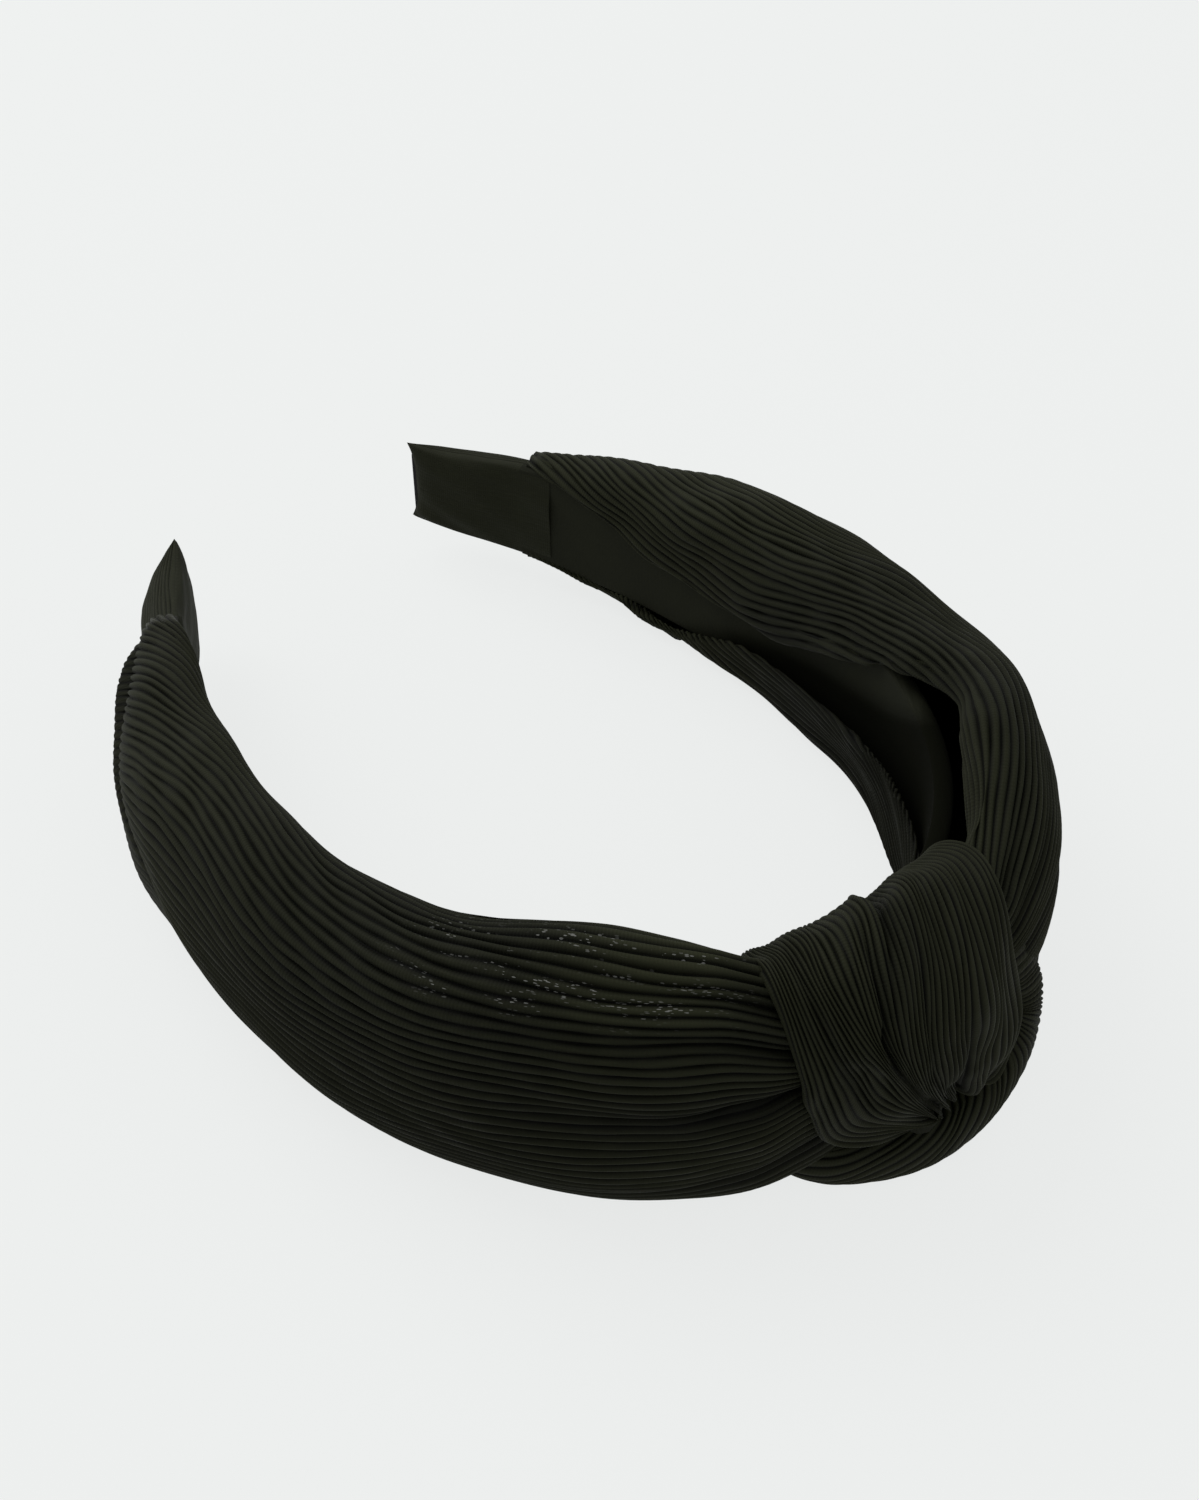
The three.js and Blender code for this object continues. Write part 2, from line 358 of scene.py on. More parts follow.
def ribbed_colour(n, uv, blotch, worn, glue):
    """Painted shade, black in the valleys and wherever creases, folds and hems are shaded; olive black on
    the ridges; paler where they are rubbed, and painted light where the pale attribute lifts them.
    """
    # ridge is 1 on the ridges and falls to 0 in the valleys and wherever shade is painted.
    ridge = n.attribute("ridge")
    shade = n.mix(n.math("POWER", ridge, 2.0), VALLEY_SHADE, RIDGE)
    shade = n.mix(n.times(ridge, n.scale(blotch, 0, 0.3, 0.35, 0.7)), shade, CLOUDED)
    shade = n.mix(n.times(ridge, n.scale(worn, 0, 0.4, 0.45, 0.8)), shade, RUBBED)
    # Painted light on the ridges.
    shade = n.mix(n.times(ridge, n.attribute("pale")), shade, PAINTED_LIGHT_COLOUR)
    shade = n.mix(n.times(pale_flecks(n, uv), 0.5), shade, FLECK_COLOUR)
    return n.mix(n.times(glue, 0.2), shade, GLUE)


def ribbed_normal(n, position, uv):
    """A fine knit in both directions, with fuzz over it."""
    threads = n.threads(uv, "Y", 640, 1.6, 2, 3)
    cross_threads = n.threads(uv, "X", 560, 1.2, 2, 3)
    weave = n.math("ADD", n.times(threads, 0.6), n.times(cross_threads, 0.4))
    fuzz = n.noise(position, 5200, 2, 0.7)
    return n.bump(fuzz, 0.00006, 0.6, n.bump(weave, 0.00007, 0.7))


def ribbed_fabric():
    """Black plisse: soft fine-knit ribs with painted shade in their valleys, paler and slightly rubbed on
    the ridges.
    """
    n = Nodes("ribbed_fabric")
    position, uv = n.space()
    blotch = n.noise(position, 55, 3, 0.6)
    worn = n.noise(n.stretched(uv, 1, 0.25, 1), 1400, 3, 0.6)
    glue = n.times(n.attribute("glue"), n.scale(worn, 0.1, 1, 0.3, 0.62))
    return n.shaded({
        "Base Color": ribbed_colour(n, uv, blotch, worn, glue),
        "Roughness": n.math("SUBTRACT", n.scale(blotch, 0.62, 0.8), n.times(glue, 0.35)),
        "Specular IOR Level": 0.06,
        "Sheen Weight": 0.01,
        "Sheen Roughness": 0.45,
        "Sheen Tint": (0.86, 0.92, 0.62, 1),
        "Normal": ribbed_normal(n, position, uv)})


def smooth_fabric():
    """The flat black ribbon inside the band: a fine even weave, with painted shade making it nearly black
    deep in the pocket.
    """
    n = Nodes("smooth_fabric")
    position, uv = n.space()
    blotch = n.noise(position, 70, 3, 0.6)
    warp = n.threads(uv, "X", 900, 0.8, 1)
    weft = n.threads(uv, "Y", 900, 0.8, 1)
    pocket = n.attribute("pocket")
    shade = n.mix(n.scale(blotch, 0, 1, 0.35, 0.7), RIBBON_DARK, RIBBON_LIGHT)
    shade = n.mix(n.times(warp, 0.25), shade, RIBBON_WARP)
    weave = n.bump(n.math("ADD", warp, weft), 0.00003, 0.6)
    return n.shaded({
        "Base Color": n.mix(pocket, shade, RIBBON_POCKET_SHADE),
        "Roughness": n.math("MAXIMUM", pocket, n.scale(blotch, 0.6, 0.78)),
        "Specular IOR Level": 0.02,
        "Normal": n.bump(n.noise(position, 4200, 2, 0.7), 0.00005, 0.5, weave)})


def core_plastic():
    """The moulded strip inside the band: black plastic with a fine satin texture."""
    n = Nodes("core_plastic")
    position, _ = n.space()
    grain = n.noise(position, 2600, 3, 0.6)
    return n.shaded({
        "Base Color": n.mix(n.noise(position, 90, 3, 0.6), CORE_DARK, CORE_LIGHT),
        "Roughness": n.scale(grain, 0.55, 0.72),
        "Specular IOR Level": 0.15,
        "Normal": n.bump(grain, 0.00003, 0.6)})


def table_top():
    """The white studio table, lit through from below, so that shadows on it are faint."""
    n = Nodes("table_top")
    position, _ = n.space()
    return n.shaded({
        "Base Color": n.mix(n.noise(position, 3, 2, 0.5), TABLE_DARK, TABLE_LIGHT),
        "Emission Color": TABLE_GLOW,
        "Emission Strength": TABLE_GLOW_STRENGTH,
        "Roughness": 0.95,
        "Specular IOR Level": 0.0})


RIBBED = ribbed_fabric()
SMOOTH = smooth_fabric()
PLASTIC = core_plastic()

# ---- Arm covers: profiles along the band ----

COVER_FROM = -0.3          # the two covers just overlap behind the knot
COVER_ROW = 1.15           # between rows of points
COVER_TUCK = 0.95          # how far the last row is tucked in past the seam
cover_top = smooth((0, 43), (12, 45), (18, 46.6), (24, 48.8), (38, 50), (76, 41.5), (118, 37), (162, 29.5))
cover_bottom = smooth((0, 1.5), (14, 0.3), (20, 0), (105, 0), (125, 0.8), (162, 5))
cover_depth = smooth((0, 12.5), (10, 15.8), (18, 17.7), (24, 18.1), (34, 18.2), (76, 18), (118, 17.4),
                     (162, 7.8))
# Painted light along each cover, more near the knot and towards the tip.
cover_pale = smooth((10, 0.2), (26, 0.16), (48, 0), (84, 0.03), (112, 0.16), (162, 0.2))

# The far cover is fuller beside the knot than the near one, and its top dips under the wrap.
knot_bulge = smooth((6, 0), (16, 1.2), (24, 1.2), (36, 0))
knot_dip = smooth((8, 0), (15, 3), (22, 3.5), (30, 1.2), (38, 0))

# How far out a cover's upper lip stands: the far one gapes open beside the knot, the near one doesn't.
open_lip_out = smooth((0, 2.6), (22, 4.2), (31, 2.2), (39, 1.3), (47, 2.3), (56, -0.4), (64, -3.1),
                      (170, -3.1))
snug_lip_out = smooth((0, 2.4), (18, 1.8), (28, -1), (38, -3.1), (170, -3.1))
top_lip_z = smooth((0, 36), (30, 41.5), (39, 44.2), (47, 43.4), (56, 41), (66, 36.6), (77, 30.4), (93, 23),
                   (106, 19.8), (116, 18.5), (130, 19.6), (144, 24), (154, 27.5), (162, 28.8))
bottom_lip_z = smooth((0, 13), (25, 20), (44, 23), (56, 22), (70, 18.6), (87, 15.6), (108, 12),
                      (128, 5.2), (162, 7.5))
bottom_lip_out = smooth((0, -2.2), (20, -2.2), (40, -2.6), (60, -3.2), (126, -3.0), (140, -2.2), (170, -2.2))

# How far a lip's edge leans in towards the head from the foot of its wall.
upper_lean = smooth((66, 0), (86, 2.2), (112, 1.2), (140, 0))
lower_lean = smooth((18, 0), (34, 0.6), (52, 2.6), (76, 3.0), (108, 1.2), (128, 0))

UPPER_CORNER = 8.0         # how far down the cover's inner side its top and bottom edges are rounded
LOWER_CORNER = 4.5
CORNER_LIMIT = 0.24        # the most that a rounded edge takes of the cover's height
CORNER_POWER = 0.85        # 1 is an ellipse, less is squarer
LIP_POWER = 0.9
BELLY_AT = 0.3             # where a cover is tallest, as a share of its depth
OUTLINE_STEPS = 60
WALL_REACH = 60.0          # longer than any lip's wall, which is cut off at its edge
WALL_STEPS = 400
HEM_RADIUS = 0.55
HEM_STEPS = 12
HEM_RETURN = 3.0           # how far the hem runs back behind the lip
RETURN_STEPS = 8
SEAM_PINCH = 1.3           # how much shallower the cover gets as it turns in at the seam
SEAM_PINCH_LENGTH = 1.4
SEAM_PINCH_FROM = SEAM_AT - 0.4
NORMAL_SPREAD = 7          # points over which an outline's direction is averaged


def lip_path(s, edge, depth, lip_out, lip_z, up, lean):
    """Half a cover's inner side, [out, z] from the crest inwards, ending in a rolled hem.
    up is 1 for the upper lip and -1 for the lower one."""
    belly = BELLY_AT * depth
    corner = min(UPPER_CORNER if up > 0 else LOWER_CORNER, CORNER_LIMIT * (cover_top(s) - cover_bottom(s)))
    angle = np.linspace(math.pi / 2, math.pi, OUTLINE_STEPS)
    out = belly + (belly - lip_out) * power(np.cos(angle), LIP_POWER)
    z = edge + up * corner * (np.sin(angle) ** LIP_POWER - 1)
    wall = np.linspace(z[-1], z[-1] - up * WALL_REACH, WALL_STEPS)[1:]
    path = np.stack([np.append(out, np.full(len(wall), lip_out)), np.append(z, wall)], axis=1)
    beyond = up * path[:, 1] < up * lip_z
    if beyond.any():
        path = path[:max(3, int(np.argmax(beyond)))]
    foot = edge - up * corner
    path[:, 0] -= lean * fade(up * (foot - path[:, 1]), 0, max(1.0, up * (foot - lip_z)))
    forward = unit(path[-1] - path[-2])
    inward = np.array([-forward[1], forward[0]]) * up
    turn = np.linspace(0, math.pi, HEM_STEPS)[1:, None]
    roll = path[-1] + HEM_RADIUS * (np.sin(turn) * forward + (1 - np.cos(turn)) * inward)
    back = roll[-1] - np.linspace(0, HEM_RETURN, RETURN_STEPS)[1:, None] * forward
    return np.concatenate([path, roll, back])


def path_normals(path):
    """Unit normals of a flat path of points, evened out over a few points."""
    ahead = np.gradient(path, axis=0)
    weights = np.ones(NORMAL_SPREAD) / NORMAL_SPREAD
    padded = np.pad(ahead, ((NORMAL_SPREAD // 2, NORMAL_SPREAD // 2), (0, 0)), "edge")
    ahead = np.stack([np.convolve(padded[:, k], weights, "valid") for k in range(2)], axis=1)
    return unit(np.stack([-ahead[:, 1], ahead[:, 0]], axis=1))


def seam_pinch(s):
    """How much shallower the cover is at s, where its end turns in at the seam like a quarter circle."""
    along = max(0.0, s - SEAM_PINCH_FROM) / SEAM_PINCH_LENGTH
    return SEAM_PINCH * (1 - math.sqrt(max(0.0, 1 - along ** 2)))


def cover_outline(s, lip_out, bulge):
    """A cover's outline at s: distance round it from its crest, [out, z], and its normals.
    lip_out places its upper lip, and bulge is its share of the fullness beside the knot."""
    top = cover_top(s) - bulge * knot_dip(s)
    bottom = cover_bottom(s)
    depth = cover_depth(s) + bulge * knot_bulge(s) - seam_pinch(s)
    belly = BELLY_AT * depth
    angle = np.linspace(math.pi / 2, -math.pi / 2, 3 * OUTLINE_STEPS)
    outer = np.stack([belly + (depth - belly) * power(np.cos(angle), CORNER_POWER),
                      (top + bottom) / 2 + (top - bottom) / 2 * power(np.sin(angle), CORNER_POWER)], axis=1)
    upper = lip_path(s, top, depth, lip_out(s), top_lip_z(s), 1, upper_lean(s))
    lower = lip_path(s, bottom, depth, bottom_lip_out(s), bottom_lip_z(s), -1, lower_lean(s))
    path = np.concatenate([upper[::-1], outer[1:-1], lower])
    length = np.concatenate([[0], np.cumsum(np.linalg.norm(np.diff(path, axis=0), axis=1))])
    return length - length[len(upper) - 1], path, path_normals(path)


# ---- Arm covers: ribs, creases and folds ----

RIB_PITCH = 1.65
RIB_DEPTH = 0.8
COVER_RIBS = (-30, 82)     # first and last rib, counted round the cover from its crest
rib_depth_share = smooth((20, 1.05), (60, 1), (110, 0.78), (162, 0.75))
RIB_CROWDING = (0.5, 1.15)  # limits on how much crowding changes a rib's depth
RIB_WANDER = 0.36          # how far a rib strays from its line over a long stretch, in ribs
RIB_SHIVER = 0.08          # and over a short one
BILLOW = 0.45              # gentle swelling of the whole cover

# Ribs run along the band, but slip round it towards the tip, and are pulled together by the knot.
rib_slip = smooth((0, 5), (20, 7), (40, 9), (56, 9), (77, 6), (108, 0), (122, 2.5), (140, 11), (164, 28))
rib_spread = smooth((0, 0.96), (60, 1), (120, 1.04), (162, 1.15))
rib_pull = smooth((-8, 7), (0, 6), (12, 0), (33, -11.5), (45, -12), (70, -12))
pull_share = smooth((4, 1.15), (14, 1), (20, 0.62), (28, 0.3), (40, 0.1), (60, 0))
knot_gather = smooth((20, 1), (34, 0.8), (64, 0))

# Creases that follow the ribs into the knot: (distance round the cover beside the knot, depth, width).
CREASES = ((8.5, 1.7, 1.2), (14.5, 1.9, 1.2), (20.5, 3.6, 1.7), (31.0, 1.9, 1.6), (41.0, 1.2, 1.6))
CREASES_MEET = 14.0        # s at which those distances are measured
CREASE_SEARCH = 0.1        # step between ribs when a crease's rib is looked up
crease_share = smooth((10, 1), (18, 0.85), (30, 0.36), (52, 0))

# The fold low on the outer side of the near arm, where the cover's edge is rolled under.
fold_height = smooth((76, 6.6), (90, 11), (100, 14.2), (110, 16.6), (120, 19.2), (140, 23.4), (160, 25.6))
fold_depth = smooth((78, 0), (92, 1.1), (110, 1.8), (162, 2.2))
fold_rim = smooth((112, 0), (126, 0.6), (140, 1.6), (152, 2.3), (158, 1.8), (162, 0.5))
FOLD_WIDTH = 0.5
FOLD_FLATTENS = 0.8        # share of the ribs' depth that is lost below the fold
# Painted shade below the rolled fold.
FOLD_DARKENS = 0.3
OUTER_SIDE = (2, 5)        # out, over which the outer side of a cover begins

# Painted shade in the creases beside the knot.
CREASE_DARKENS = 0.5
INSIDE_DARKENS = 0.4       # painted shade on the low inner side of each cover
FLECK_PAINTED_LIGHT = 0.26           # how much painted light the fabric gets among the flecks, beside the knot
FAR_PAINTED_LIGHT = 0.05            # how much more painted light the far cover gets, and how much more towards its tip
FAR_TIP_PAINTED_LIGHT = 0.04
SAME_POINT = 1e-4          # points closer than this round a cover count as one


class Cover(NamedTuple):
    """What differs between the two covers. Most values are shares, 0 for none and 1 for plenty."""
    side: int
    seed: int
    creased: float
    glued: float
    flecked: float
    folded: float
    bulge: float
    gather: float          # how much closer together the ribs lie beside the knot
    lip_out: Callable      # how far out the upper lip stands, along the band


def ribs_round(s, ribs, gather=0.0):
    """How far round the cover, from its crest, each rib lies at s."""
    even = RIB_PITCH * ribs * rib_spread(s) * (1 - gather * knot_gather(s))
    return even + rib_slip(s) + pull_share(s) * rib_pull(even)


def creases_at(s, rib, out):
    """How far the creases beside the knot sink at each rib, on the outer side."""
    ribs = np.arange(*COVER_RIBS, CREASE_SEARCH)
    beside = ribs_round(CREASES_MEET, ribs)
    total = np.zeros_like(rib)
    for round_it, depth, width in CREASES:
        away = np.abs(rib - np.interp(round_it, beside, ribs)) / width
        total += depth * crease_share(s) * np.exp(-away)
    return total * fade(out, 1, 5)


def under_fold(s, out, z):
    """How far the rolled-under edge sinks below the cover: a narrow groove, then a raised rim."""
    above = z - fold_height(s)
    groove = fold_depth(s) * np.exp(-np.abs(above) / FOLD_WIDTH)
    return (groove - fold_rim(s) * fade(-above, 0, 2.2)) * fade(out, *OUTER_SIDE)


def cover_rows(cover, ribs):
    """A function of s that gives one row of a cover's points: out, z, ridge, distance round and rib."""
    wander = ripple(cover.seed, 20.0, 75.0)
    shiver = ripple(cover.seed + 3, 5.0, 22.0)
    height_at = rib_height(cover.seed + 5, RIB_DEPTH)
    billow = ripple(cover.seed + 9, 26.0, 38.0)

    def row_at(s):
        length, path, normal = cover_outline(s, cover.lip_out, cover.bulge)
        drift = RIB_WANDER * wander(ribs, s) + RIB_SHIVER * shiver(ribs, s)
        round_it = ribs_round(s, ribs + drift, cover.gather)
        at = np.clip(round_it, length[0], length[-1])
        rib = np.interp(at, round_it, ribs)
        out, z = (np.interp(at, length, path[:, k]) for k in range(2))
        across, up = (np.interp(at, length, normal[:, k]) for k in range(2))
        off_hem = fade(np.minimum(at - length[0], length[-1] - at), 0.5, HEM_RETURN + 2)
        crowding = np.clip(np.gradient(round_it, ribs) / RIB_PITCH, *RIB_CROWDING)
        crease = cover.creased * creases_at(s, rib, out)
        fold = cover.folded * under_fold(s, out, z)
        rolled = cover.folded * fade(fold_height(s) - z, 0, 1) * fade(s, 98, 125) * fade(out, *OUTER_SIDE)
        ridge = rib_ridge(rib)
        valley = (1 - ridge) * height_at(rib, s) * rib_depth_share(s) * crowding * off_hem
        swell = BILLOW * billow(at, s) * off_hem * fade(s, 8, 30) * (1 - fade(s, 140, 160))
        sink = valley * (1 - FOLD_FLATTENS * rolled) + crease + fold - swell
        # Painted shade from the creases, the fold and the low inner side, carried in ridge.
        inside = fade(-out, 0, 2) * (1 - fade(z, 22, 30)) * (1 - fade(s, 90, 125))
        shade = np.exp(-CREASE_DARKENS * crease - np.maximum(fold, 0))
        shade = shade * (1 - INSIDE_DARKENS * inside) * (1 - FOLD_DARKENS * rolled)
        return out - across * sink, np.maximum(z - up * sink, ABOVE_TABLE), ridge * shade, at, rib

    return row_at


def cover_marks(cover, s, z, round_it):
    """Where a cover carries pale flecks by the knot and glue by the seam, and how much light is painted on
    it.
    """
    flecks = cover.flecked * fade(s, 18, 26) * (1 - fade(s, 56, 68))
    flecks = flecks * fade(z, 41, 45) * fade(round_it, -9, -2) * (1 - fade(round_it, 8, 12))
    # Painted light, with more among the flecks and on the far cover towards its tip.
    pale = cover_pale(s) + FLECK_PAINTED_LIGHT * flecks * (1 - fade(s, 34, 48))
    return {"flecks": flecks,
            "glue": cover.glued * fade(s, SEAM_AT - 1.6, SEAM_AT - 0.2),
            "pale": pale + cover.bulge * (FAR_PAINTED_LIGHT + FAR_TIP_PAINTED_LIGHT * fade(s, 90, 120))}


def arm_cover(name, cover):
    """One arm's ribbed cover, from under the knot to its tucked end at the seam."""
    stations = np.append(np.arange(COVER_FROM, SEAM_AT + COVER_ROW / 2, COVER_ROW), SEAM_AT + COVER_TUCK)
    ribs = rib_columns(*COVER_RIBS)
    row_at = cover_rows(cover, ribs)
    out, z, ridge, round_it, rib = (np.array(rows) for rows in zip(*map(row_at, stations)))
    s = np.repeat(stations[:, None], len(ribs), axis=1)
    points = place(cover.side, s, out, z).reshape(-1, 3)
    # Ribs that would lie past a hem all end on it, so the quads between those have no width.
    quads = grid_quads(*s.shape)
    quads = quads[np.ptp(round_it.ravel()[quads], axis=1) > SAME_POINT]
    uv = np.stack([rib.ravel() * RIB_PITCH, s.ravel()], axis=1)
    return new_piece(name, points, quads, RIBBED, uv, ridge=ridge, **cover_marks(cover, s, z, round_it))


# ---- Knot: the wide front wrap and the loop below it ----

# The front wrap's guide lines from its left edge to its right one. Each runs in (s, out, z) from
# inside the crown, over the top and down the front to the pinch, where the fabric is tucked in.
WRAP_GUIDES = (
    ((-18.6, -2.5, 34), (-19, -1.5, 39.5), (-19, 1, 42.5), (-18.1, 6, 47), (-17.1, 12.5, 44.4),
     (-15.5, 18, 33.9), (-14.3, 17.8, 26.7), (-12, 18, 18.6), (-6.7, 20, 16.8), (-0.7, 20.2, 16.9),
     (0, 11, 14.6)),
    ((-12.4, -2.5, 34), (-12.4, -1.5, 42), (-12.4, 0.8, 45.6), (-12.3, 5.5, 47.9), (-12.4, 12.5, 47),
     (-10.7, 18.5, 41.2), (-9.1, 20.5, 36.8), (-7, 21.3, 31.3), (-4.7, 21.6, 26.3), (-0.6, 20, 17.5),
     (0.4, 11, 15)),
    ((-0.2, -2.5, 34), (-0.4, -1.5, 42.5), (-0.8, 0.5, 46.2), (-2.9, 6, 50), (-5, 13.8, 47.2),
     (-6.3, 20, 40.8), (-5.9, 22, 36.2), (-4.5, 22.4, 30.5), (-2.5, 21.8, 24.9), (0.8, 19.8, 17),
     (1.2, 11, 15)),
    ((9.8, -2.5, 33.5), (9.6, -1.5, 41), (9, 0.5, 45), (6.4, 6, 48.8), (3.5, 13.8, 43.8),
     (0.6, 20, 38), (0.1, 22, 32.9), (0.1, 22.5, 28.7), (0.5, 22, 24.7), (2.4, 20, 17.8),
     (2.8, 11, 15.4)),
    ((19.5, -2.5, 33), (19.6, -1.2, 37.5), (19.8, 2, 41.9), (19.4, 6.5, 43.8), (15.2, 11.8, 44.2),
     (12.8, 16.8, 37.5), (12.4, 20, 28.4), (10.9, 21.6, 23.6), (9.6, 21.8, 19.7), (7.2, 20.3, 15.4),
     (7, 11, 14.4)),
)
WRAP_SEED = 41
WRAP_RIBS = 45
WRAP_RIB_PITCH = 1.2
WRAP_RIB_DEPTH = 0.56
WRAP_RIB_WANDER = 0.28
WRAP_RIB_SHIVER = 0.07
WRAP_STEADY_RIBS = 3       # the ribs nearest each edge wander less
WRAP_BILLOW = 0.35
# Painted light over the whole wrap.
WRAP_PAINTED_LIGHT = 0.18
WRAP_ROWS = 128
WRAP_LENGTH = 75.0         # along a rib, from the inner hem to the pinch
RUFFLES = 6.5              # waves across the gathered pinch
RUFFLE_DEPTH = 0.85
RUFFLE_PHASE = 1.0
# Painted shade on the tucked side of each ruffle.
RUFFLE_DARKENS = 0.85
PINCH_FROM = (0.78, 0.9)   # v over which the fabric starts to ruffle
PINCH_DEEPENS = 0.3        # how much deeper its ribs are there
# Painted shade in the wrap's folds.
WRAP_FOLD_DARKENS = 0.6
WRAP_DEPTH_REACH = 60.0    # the larger, the faster a rib's depth changes along it

# A hem's outline, (outwards, up from the fabric) in hem sizes, from the edge round and under it.
WRAP_HEM = ((0.45, -0.12), (0.85, -0.5), (1.0, -1.0), (0.85, -1.5), (0.4, -1.85), (-1.5, -2.0), (-3.5, -2.1))
WRAP_HEM_SIZE = 0.75
WRAP_HEM_STEP = 0.12       # how much of a rib each step round a hem takes
# Painted shade on the hems, darker as they roll under.
WRAP_HEM_SHADE = 0.9


class Fold(NamedTuple):
    """A fold down the wrap. A narrow side makes the fabric there lie over the other side.
    across and depth are taken at v, which runs from 0 at the inner hem to 1 at the pinch."""
    across: Callable
    depth: Callable
    before: float          # width on its left side
    after: float           # width on its right side


WRAP_FOLDS = (
    Fold(across=smooth((0, 0.44), (0.3, 0.435), (0.46, 0.424), (0.5, 0.39), (0.56, 0.36), (0.62, 0.335),
                       (0.7, 0.34), (1, 0.45)),
         depth=smooth((0.2, 0), (0.32, 0.5), (0.44, 1.1), (0.54, 2.3), (0.62, 2.0), (0.74, 0.4), (0.9, 0)),
         before=0.004, after=0.04),
    Fold(across=smooth((0, 0.2), (0.35, 0.17), (0.6, 0.15), (1, 0.3)),
         depth=smooth((0.2, 0), (0.38, 0.5), (0.55, 0.7), (0.75, 0)),
         before=0.02, after=0.03),
    Fold(across=smooth((0, 0.6), (0.6, 0.62), (1, 0.62)),
         depth=smooth((0.3, 0), (0.42, 0.5), (0.6, 0.4), (0.9, 0.6), (1, 0.6)),
         before=0.01, after=0.02),
    Fold(across=smooth((0, 0.8), (0.6, 0.8), (1, 0.78)),
         depth=smooth((0.5, 0), (0.65, 0.9), (0.8, 1.5), (1, 1.5)),
         before=0.05, after=0.012),
    Fold(across=smooth((0, 0.52), (0.3, 0.515), (0.5, 0.47)),
         depth=smooth((0.08, 0), (0.2, 2.0), (0.3, 2.0), (0.4, 0.5), (0.5, 0)),
         before=0.006, after=0.035),
    Fold(across=smooth((0, 0.49), (0.3, 0.485), (0.5, 0.45)),
         depth=smooth((0.08, 0), (0.2, -1.1), (0.3, -0.9), (0.4, 0)),
         before=0.025, after=0.02),
)


def wrap_share(rib, v):
    """How far across the wrap each point is, 0 to 1, with its rib wandering a little."""
    wander = ripple(WRAP_SEED, 9.0, 0.55)
    shiver = ripple(WRAP_SEED + 3, 3.0, 0.25)
    from_edge = np.minimum(rib, WRAP_RIBS - rib)
    drift = WRAP_RIB_WANDER * wander(rib, v) + WRAP_RIB_SHIVER * shiver(rib, v)
    return (rib + drift * np.minimum(1, from_edge / WRAP_STEADY_RIBS)) / WRAP_RIBS


def wrap_surface(share, v):
    """The wrap's smooth surface through its guide lines: points and outward normals."""
    stations = v * (len(WRAP_GUIDES[0]) - 1)
    lines = np.stack([through(guide, stations) for guide in WRAP_GUIDES])       # guide, v, (s, out, z)
    sheet = np.stack([through(lines[:, row], share[row] * (len(WRAP_GUIDES) - 1)) for row in range(len(v))])
    points = place(1, sheet[..., 0], sheet[..., 1], sheet[..., 2])
    normal = grid_normals(points)
    faces_inwards = normal[len(v) // 2, share.shape[1] // 2, 1] > 0
    return points, -normal if faces_inwards else normal


def knot_wrap():
    """The wide band of ribbed fabric over the knot, pinched together below its middle."""
    v = np.linspace(0, 1, WRAP_ROWS)
    rib_grid, v_grid = np.meshgrid(rib_columns(0, WRAP_RIBS), v)
    share = wrap_share(rib_grid, v_grid)
    points, normal = wrap_surface(share, v)
    height_at = rib_height(WRAP_SEED + 5, WRAP_RIB_DEPTH)
    billow = ripple(WRAP_SEED + 9, 0.3, 0.35)
    ridge = rib_ridge(rib_grid)
    valley = (1 - ridge) * height_at(rib_grid, WRAP_DEPTH_REACH * v_grid)
    valley = valley * (1 + PINCH_DEEPENS * fade(v_grid, 0.8, 0.9))
    folded = np.zeros_like(valley)
    for fold in WRAP_FOLDS:
        away = share - fold.across(v_grid)
        folded += fold.depth(v_grid) * np.exp(-np.abs(away) / np.where(away < 0, fold.before, fold.after))
    ruffle = np.sin(share * 2 * math.pi * RUFFLES + RUFFLE_PHASE) * fade(v_grid, *PINCH_FROM)
    sink = valley + folded + RUFFLE_DEPTH * ruffle - WRAP_BILLOW * billow(share, v_grid)
    points = points - normal * sink[..., None]
    # Painted shade in the folds and ruffles.
    ridge = ridge * np.exp(-WRAP_FOLD_DARKENS * np.maximum(folded, 0))
    ridge = ridge * (1 - RUFFLE_DARKENS * np.maximum(ruffle, 0))
    points, ridge, rib_grid = with_hems(points, normal, ridge, rib_grid)
    uv = np.stack([rib_grid.ravel() * WRAP_RIB_PITCH, np.repeat(v * WRAP_LENGTH, rib_grid.shape[1])], axis=1)
    return new_piece("knot_front_wrap", points.reshape(-1, 3), grid_quads(*ridge.shape), RIBBED, uv,
                     ridge=ridge, pale=np.full_like(ridge, WRAP_PAINTED_LIGHT))


def with_hems(points, normal, ridge, rib_grid):
    """The wrap's grid with both side edges rolled under, with shade painted on the hems as they roll under.
    """
    steps = np.arange(1, len(WRAP_HEM) + 1) * WRAP_HEM_STEP
    hems = []
    for edge, inner, side in ((0, 3, -1), (-1, -4, 1)):
        outward = unit(square_to(normal[:, edge], points[:, edge] - points[:, inner]))
        hem = [points[:, edge] + WRAP_HEM_SIZE * (a * outward + b * normal[:, edge]) for a, b in WRAP_HEM]
        hems.append((np.stack(hem[::side], axis=1),
                     np.repeat((WRAP_HEM_SHADE - steps[::side] / 2)[None], len(points), axis=0),
                     rib_grid[:, edge][:, None] + (side * steps[::side])[None]))
    middle = (points, ridge, rib_grid)
    return tuple(np.concatenate(parts, axis=1) for parts in zip(hems[0], middle, hems[1]))


